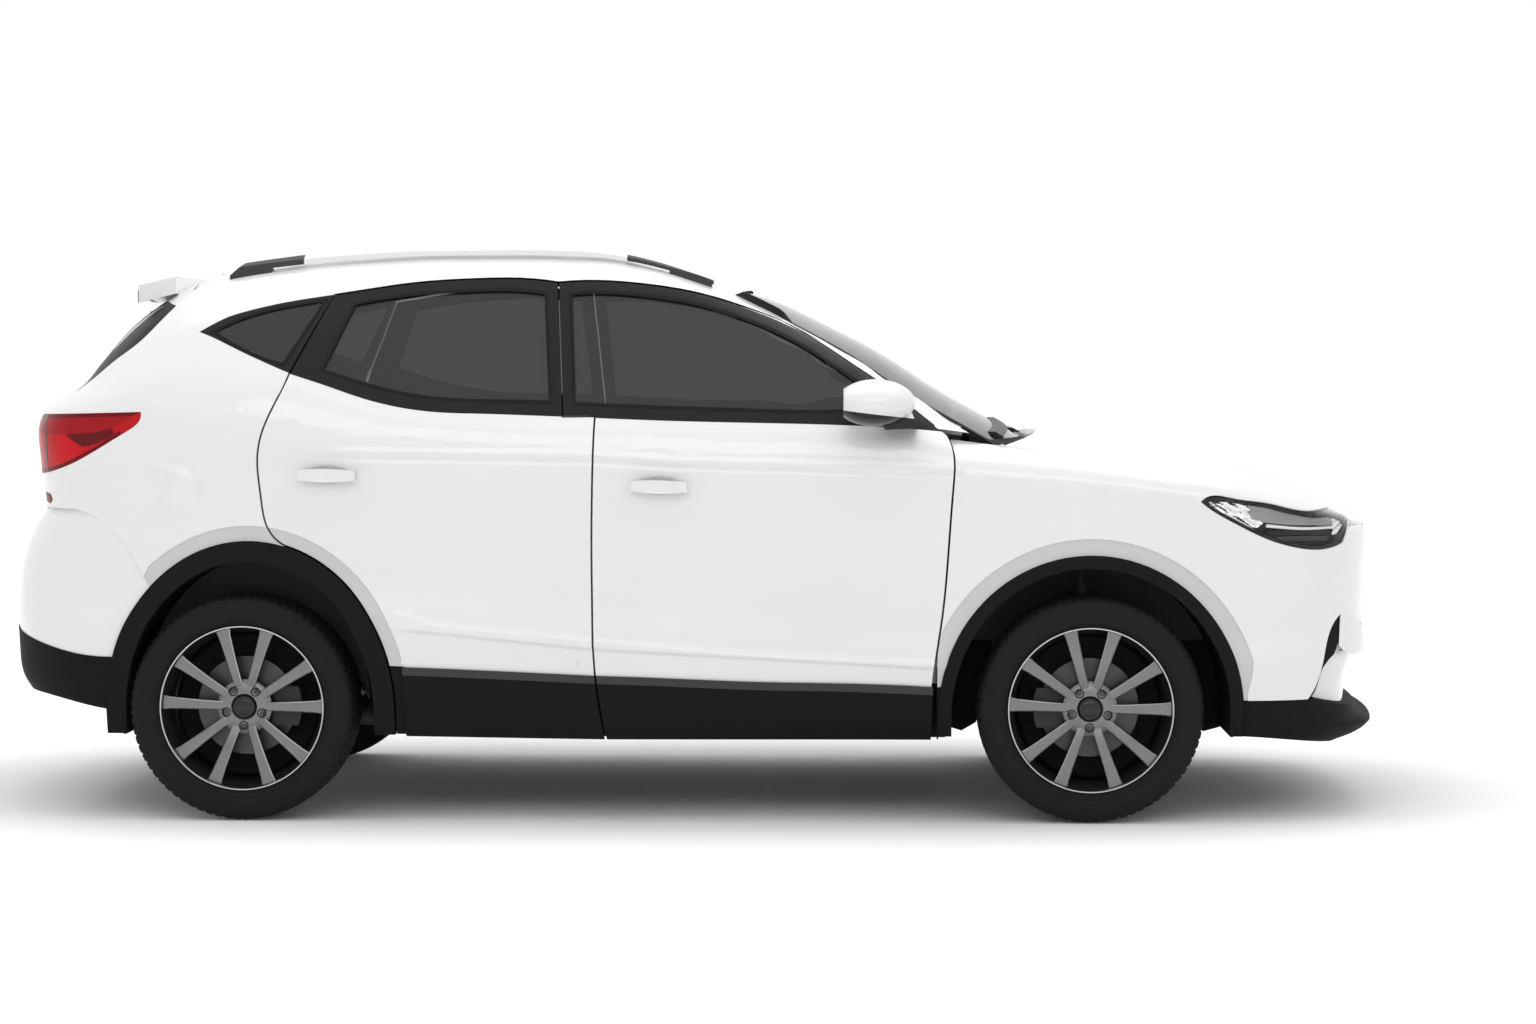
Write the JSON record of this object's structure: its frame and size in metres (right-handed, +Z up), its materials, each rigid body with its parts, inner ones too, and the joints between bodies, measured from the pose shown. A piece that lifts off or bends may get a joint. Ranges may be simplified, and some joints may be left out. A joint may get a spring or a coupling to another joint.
{
  "type": "compact sport utility car",
  "caption": "Compact white sport utility car with opening side doors, bonnet and tailgate, steered front wheels and a furnished cabin.",
  "frame": {"origin": "on the ground, in the middle of the car's length and width", "axes": "+X forward, +Y to the car's left, +Z up"},
  "size_m": [4.311, 2.17, 1.763],
  "materials": {
    "body_paint": "white gloss paint",
    "mirror_paint": "white gloss paint on plastic",
    "side_glass": "dark tinted glass",
    "screen_glass": "lightly tinted laminated glass",
    "dark_cladding": "grained dark grey plastic",
    "gloss_black": "gloss black plastic",
    "lamp_red": "clear red lens",
    "lamp_clear": "clear lens over dark housing",
    "rail_metal": "satin silver",
    "tyre_rubber": "matt black rubber",
    "rim_alloy": "machined faces, dark pockets",
    "disc_metal": "swept iron",
    "cast_metal": "dark coated",
    "engine_metal": "cast",
    "pipe_metal": "dull steel",
    "underbody_paint": "matt undercoat",
    "tank_plastic": "black moulded plastic",
    "cabin_plastic": "soft black moulding",
    "seat_fabric": "dark woven cloth"
  },
  "bodies": {
    "body": {"body_sides": "body_paint", "cowl": "dark_cladding", "dashboard": "cabin_plastic", "engine_block": "engine_metal", "exhaust": "pipe_metal", "fenders": "body_paint", "floor_pan": "underbody_paint", "front_arch_trims": "dark_cladding", "front_bumper": "body_paint", "front_lower_trim": "dark_cladding", "front_seats": "seat_fabric", "front_structure": "underbody_paint", "front_subframe": "cast_metal", "fuel_tank": "tank_plastic", "grille": "gloss_black", "headlamps": "lamp_clear", "quarter_glass": "side_glass", "radiator": "engine_metal", "rear_arch_trims": "dark_cladding", "rear_axle": "cast_metal", "rear_bumper": "body_paint", "rear_lower_trim": "dark_cladding", "rear_seat": "seat_fabric", "roof_panel": "body_paint", "roof_rails": "rail_metal", "tail_lamps": "lamp_red", "windscreen": "screen_glass", "wipers": "gloss_black"},
    "front_door_body_right": {"front_door_right": "body_paint", "front_door_glass_right": "side_glass", "front_door_cladding_right": "dark_cladding", "mirror_right": "mirror_paint"},
    "rear_door_body_right": {"rear_door_right": "body_paint", "rear_door_glass_right": "side_glass", "rear_door_cladding_right": "dark_cladding"},
    "knuckle_body_right": {"knuckle_right": "cast_metal"},
    "front_door_body_left": {"front_door_left": "body_paint", "front_door_glass_left": "side_glass", "front_door_cladding_left": "dark_cladding", "mirror_left": "mirror_paint"},
    "rear_door_body_left": {"rear_door_left": "body_paint", "rear_door_glass_left": "side_glass", "rear_door_cladding_left": "dark_cladding"},
    "knuckle_body_left": {"knuckle_left": "cast_metal"},
    "wheel_front_right": {"tyre_front_right": "tyre_rubber", "rim_front_right": "rim_alloy", "brake_disc_front_right": "disc_metal"},
    "wheel_front_left": {"tyre_front_left": "tyre_rubber", "rim_front_left": "rim_alloy", "brake_disc_front_left": "disc_metal"},
    "wheel_rear_right": {"tyre_rear_right": "tyre_rubber", "rim_rear_right": "rim_alloy", "brake_disc_rear_right": "disc_metal"},
    "wheel_rear_left": {"tyre_rear_left": "tyre_rubber", "rim_rear_left": "rim_alloy", "brake_disc_rear_left": "disc_metal"},
    "bonnet_body": {"bonnet": "body_paint"},
    "tailgate_body": {"tailgate": "body_paint", "tailgate_glass": "side_glass"},
    "steering_wheel_body": {"steering_wheel": "cabin_plastic"}
  },
  "joints": [
    {"name": "steer_right", "type": "hinge", "parent": "body", "child": "knuckle_body_right", "pos_m": [1.226, -0.69, 0.19], "axis": [-0.0322, 0.1929, 0.9807], "range_deg": [-33, 33]},
    {"name": "steer_left", "type": "hinge", "parent": "body", "child": "knuckle_body_left", "pos_m": [1.226, 0.69, 0.19], "axis": [-0.0322, -0.1929, 0.9807], "range_deg": [-33, 33]},
    {"name": "steering_wheel_turn", "type": "hinge", "parent": "body", "child": "steering_wheel_body", "pos_m": [0.42, 0.385, 0.985], "axis": [-0.9135, 0, 0.4067], "range_deg": [-480, 480]},
    {"name": "roll_front_right", "type": "hinge", "parent": "knuckle_body_right", "child": "wheel_front_right", "pos_m": [1.222, -0.77, 0.342], "axis": [0, 1, 0], "continuous": true},
    {"name": "roll_front_left", "type": "hinge", "parent": "knuckle_body_left", "child": "wheel_front_left", "pos_m": [1.222, 0.77, 0.342], "axis": [0, 1, 0], "continuous": true},
    {"name": "roll_rear_right", "type": "hinge", "parent": "body", "child": "wheel_rear_right", "pos_m": [-1.343, -0.77, 0.342], "axis": [0, 1, 0], "continuous": true},
    {"name": "roll_rear_left", "type": "hinge", "parent": "body", "child": "wheel_rear_left", "pos_m": [-1.343, 0.77, 0.342], "axis": [0, 1, 0], "continuous": true},
    {"name": "front_door_swing_right", "type": "hinge", "parent": "body", "child": "front_door_body_right", "pos_m": [0.804, -0.906, 0.7], "axis": [0, 0, 1], "range_deg": [0, 68]},
    {"name": "rear_door_swing_right", "type": "hinge", "parent": "body", "child": "rear_door_body_right", "pos_m": [-0.242, -0.906, 0.7], "axis": [0, 0, 1], "range_deg": [0, 70]},
    {"name": "front_door_swing_left", "type": "hinge", "parent": "body", "child": "front_door_body_left", "pos_m": [0.804, 0.906, 0.7], "axis": [0, 0, -1], "range_deg": [0, 68]},
    {"name": "rear_door_swing_left", "type": "hinge", "parent": "body", "child": "rear_door_body_left", "pos_m": [-0.242, 0.906, 0.7], "axis": [0, 0, -1], "range_deg": [0, 70]},
    {"name": "bonnet_lift", "type": "hinge", "parent": "body", "child": "bonnet_body", "pos_m": [0.958, 0, 1.134], "axis": [0, -1, 0], "range_deg": [0, 55]},
    {"name": "tailgate_lift", "type": "hinge", "parent": "body", "child": "tailgate_body", "pos_m": [-1.528, 0, 1.667], "axis": [0, 1, 0], "range_deg": [0, 80]}
  ],
  "couplings": [
    {"joint": "steer_left", "follows": "steer_right", "ratio": 1},
    {"joint": "steering_wheel_turn", "follows": "steer_right", "ratio": 14.5}
  ]
}
